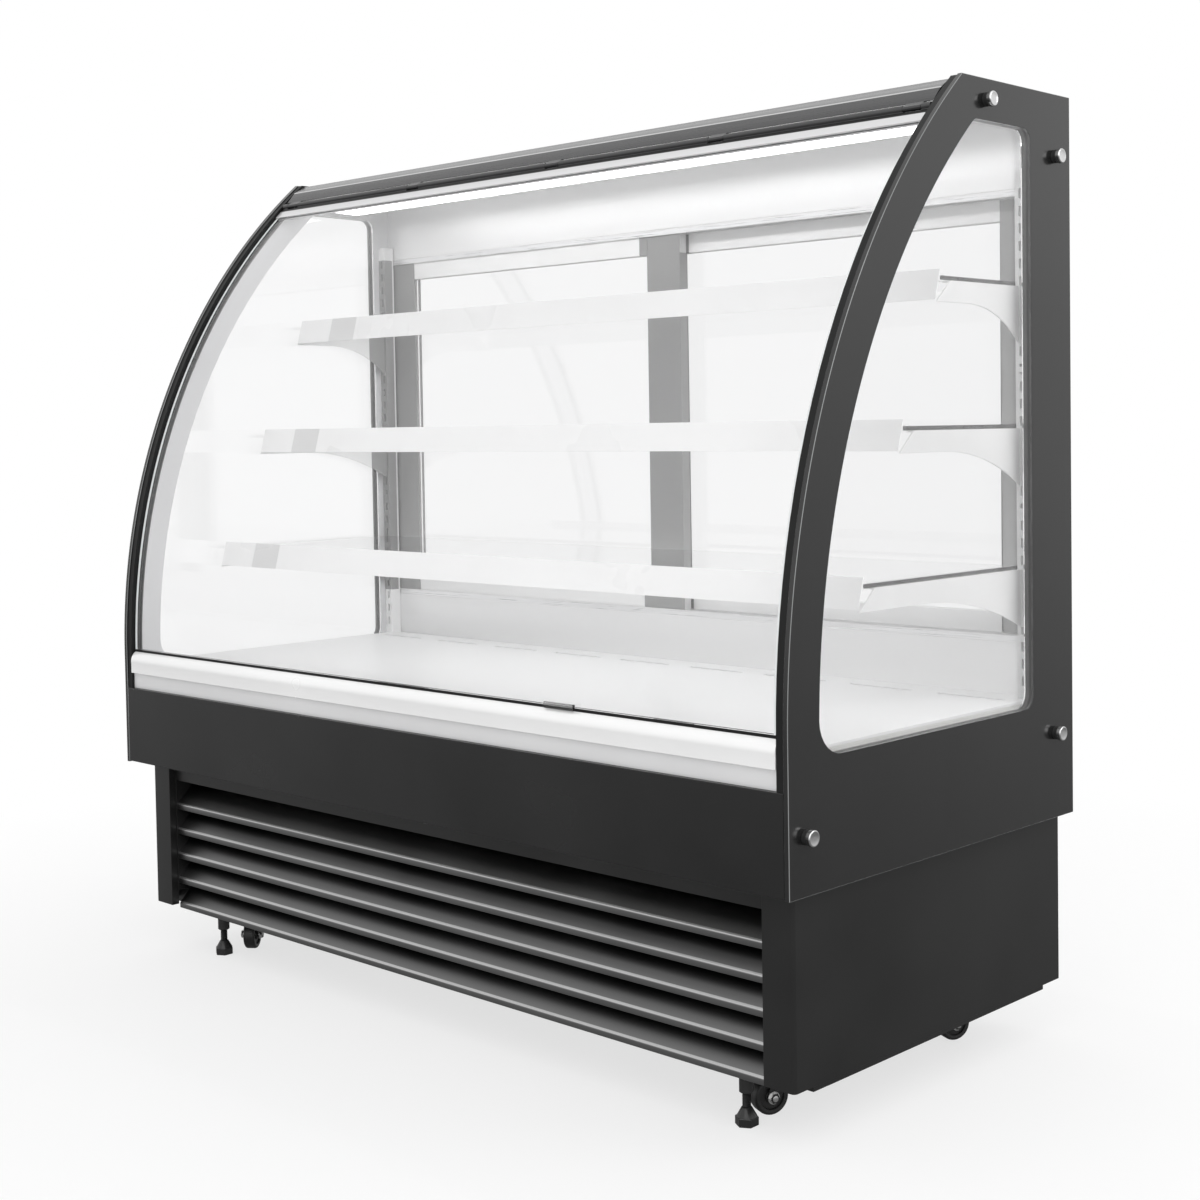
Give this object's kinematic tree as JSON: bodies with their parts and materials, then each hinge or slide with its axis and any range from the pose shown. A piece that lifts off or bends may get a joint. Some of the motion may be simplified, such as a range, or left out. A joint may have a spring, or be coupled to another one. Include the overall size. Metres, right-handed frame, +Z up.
{
  "type": "refrigerated bakery display case",
  "caption": "Floor-standing refrigerated display cabinet with curved lift-up front glass, glass end walls, glass shelves, rear sliding doors and a louvred plinth on casters.",
  "frame": {"origin": "on the floor under the middle of the cabinet", "axes": "+X to the shopper's right along the cabinet's width, -Y towards the shopper (front glass), +Z up"},
  "size_m": [1.527, 0.667, 1.382],
  "materials": {
    "end_glass": "satin black border round a clear window",
    "black_core": "satin",
    "clear_glass": "clear float glass",
    "chrome": "polished",
    "black_fascia": "gloss",
    "satin_aluminium": "satin anodised",
    "seal_rubber": "matte",
    "black_plastic": "moulded",
    "dark_sheet": "satin",
    "brushed_steel": "brushed",
    "lamp_glass": "diffuser",
    "foam": "foam with foil face",
    "white_deck": "semi-gloss",
    "door_grey": "satin",
    "door_glass": "clear",
    "white_paint": "semi-gloss",
    "white_plastic": "satin",
    "black_paint": "satin powder coat",
    "zinc": "zinc plated",
    "compressor_black": "gloss",
    "fin_aluminium": "mill",
    "black_zinc": "satin",
    "caster_rubber": "moulded"
  },
  "bodies": {
    "cabinet": {"back_panel": "brushed_steel", "base_frame": "black_paint", "bullnose": "satin_aluminium", "caster_plates": "zinc", "ceiling_panel": "brushed_steel", "compressor": "compressor_black", "condenser_coil": "fin_aluminium", "condenser_fan_shroud": "black_plastic", "control_box": "black_plastic", "deck": "white_deck", "door_tracks": "satin_aluminium", "end_cores": "black_core", "end_glass_left": "end_glass", "end_glass_right": "end_glass", "end_inner_panes": "clear_glass", "evaporator_coil": "fin_aluminium", "fascia": "black_fascia", "front_trim": "satin_aluminium", "glass_seals": "seal_rubber", "glass_stops": "black_plastic", "grille_blades": "black_paint", "grille_frame": "black_paint", "lamp_housing": "satin_aluminium", "lamp_tube": "lamp_glass", "plinth_back_cover": "black_paint", "plinth_cover_left": "black_paint", "plinth_cover_right": "black_paint", "rear_header": "brushed_steel", "roof_panel": "dark_sheet", "shelf_brackets": "white_paint", "shelf_glass": "clear_glass", "standoff_buttons": "chrome", "ticket_strips": "white_plastic", "top_rail": "satin_aluminium", "tub_insulation": "foam", "tub_lining": "brushed_steel", "unit_tray": "zinc", "uprights": "white_paint"},
    "front_glass": {"front_glass": "clear_glass", "glass_hinge_leaf": "satin_aluminium", "glass_grip": "black_plastic"},
    "door_left": {"door_frame_left": "door_grey", "door_glass_left": "door_glass"},
    "door_right": {"door_frame_right": "door_grey", "door_glass_right": "door_glass"},
    "condenser_fan": {"condenser_fan_rotor": "black_plastic"},
    "evaporator_fan": {"evaporator_fan_rotor": "black_plastic"},
    "light_switch": {"light_switch": "black_plastic"},
    "foot_right": {"levelling_foot_right": "black_zinc"},
    "foot_left": {"levelling_foot_left": "black_zinc"},
    "fork_FR": {"caster_fork_FR": "black_zinc"},
    "wheel_FR": {"caster_wheel_FR": "caster_rubber"},
    "fork_FL": {"caster_fork_FL": "black_zinc"},
    "wheel_FL": {"caster_wheel_FL": "caster_rubber"},
    "fork_RR": {"caster_fork_RR": "black_zinc"},
    "wheel_RR": {"caster_wheel_RR": "caster_rubber"},
    "fork_RL": {"caster_fork_RL": "black_zinc"},
    "wheel_RL": {"caster_wheel_RL": "caster_rubber"},
    "pedal_FR": {"brake_pedal_FR": "black_plastic"},
    "pedal_FL": {"brake_pedal_FL": "black_plastic"}
  },
  "joints": [
    {"name": "front_glass_hinge", "type": "hinge", "parent": "cabinet", "child": "front_glass", "pos_m": [0, 0.01528, 1.337], "axis": [-1, 0, 0], "range_deg": [0, 60]},
    {"name": "door_left_slide", "type": "slide", "parent": "cabinet", "child": "door_left", "axis": [1, 0, 0], "range_m": [0, 0.68]},
    {"name": "door_right_slide", "type": "slide", "parent": "cabinet", "child": "door_right", "axis": [-1, 0, 0], "range_m": [0, 0.68]},
    {"name": "condenser_fan_spin", "type": "hinge", "parent": "cabinet", "child": "condenser_fan", "pos_m": [0, -0.11, 0.194], "axis": [0, 1, 0], "continuous": true},
    {"name": "evaporator_fan_spin", "type": "hinge", "parent": "cabinet", "child": "evaporator_fan", "pos_m": [0, 0.1, 0.4291], "axis": [0, 1, 0], "continuous": true},
    {"name": "light_switch_rock", "type": "hinge", "parent": "cabinet", "child": "light_switch", "pos_m": [0.474, 0.3285, 0.2667], "axis": [1, 0, 0], "range_deg": [-7, 7]},
    {"name": "fork_FR_swivel", "type": "hinge", "parent": "cabinet", "child": "fork_FR", "pos_m": [0.606, -0.17, 0.07], "axis": [0, 0, 1], "continuous": true},
    {"name": "wheel_FR_roll", "type": "hinge", "parent": "fork_FR", "child": "wheel_FR", "pos_m": [0.59662, -0.19209, 0.025], "axis": [0.9205, -0.3907, 0], "continuous": true},
    {"name": "pedal_FR_press", "type": "hinge", "parent": "fork_FR", "child": "pedal_FR", "pos_m": [0.60131, -0.18105, 0.057], "axis": [0.9205, -0.3907, 0], "range_deg": [0, 9]},
    {"name": "fork_FL_swivel", "type": "hinge", "parent": "cabinet", "child": "fork_FL", "pos_m": [-0.606, -0.17, 0.07], "axis": [0, 0, 1], "continuous": true},
    {"name": "wheel_FL_roll", "type": "hinge", "parent": "fork_FL", "child": "wheel_FL", "pos_m": [-0.59122, -0.18891, 0.025], "axis": [0.788, 0.6157, 0], "continuous": true},
    {"name": "pedal_FL_press", "type": "hinge", "parent": "fork_FL", "child": "pedal_FL", "pos_m": [-0.59861, -0.17946, 0.057], "axis": [0.788, 0.6157, 0], "range_deg": [0, 9]},
    {"name": "fork_RR_swivel", "type": "hinge", "parent": "cabinet", "child": "fork_RR", "pos_m": [0.606, 0.19, 0.07], "axis": [0, 0, 1], "continuous": true},
    {"name": "wheel_RR_roll", "type": "hinge", "parent": "fork_RR", "child": "wheel_RR", "pos_m": [0.61576, 0.21193, 0.025], "axis": [-0.9135, 0.4067, 0], "continuous": true},
    {"name": "fork_RL_swivel", "type": "hinge", "parent": "cabinet", "child": "fork_RL", "pos_m": [-0.606, 0.19, 0.07], "axis": [0, 0, 1], "continuous": true},
    {"name": "wheel_RL_roll", "type": "hinge", "parent": "fork_RL", "child": "wheel_RL", "pos_m": [-0.61342, 0.21283, 0.025], "axis": [-0.9511, -0.309, 0], "continuous": true},
    {"name": "foot_right_raise", "type": "slide", "parent": "cabinet", "child": "foot_right", "axis": [0, 0, 1], "range_m": [0, 0.012]},
    {"name": "foot_left_raise", "type": "slide", "parent": "cabinet", "child": "foot_left", "axis": [0, 0, 1], "range_m": [0, 0.012]}
  ]
}
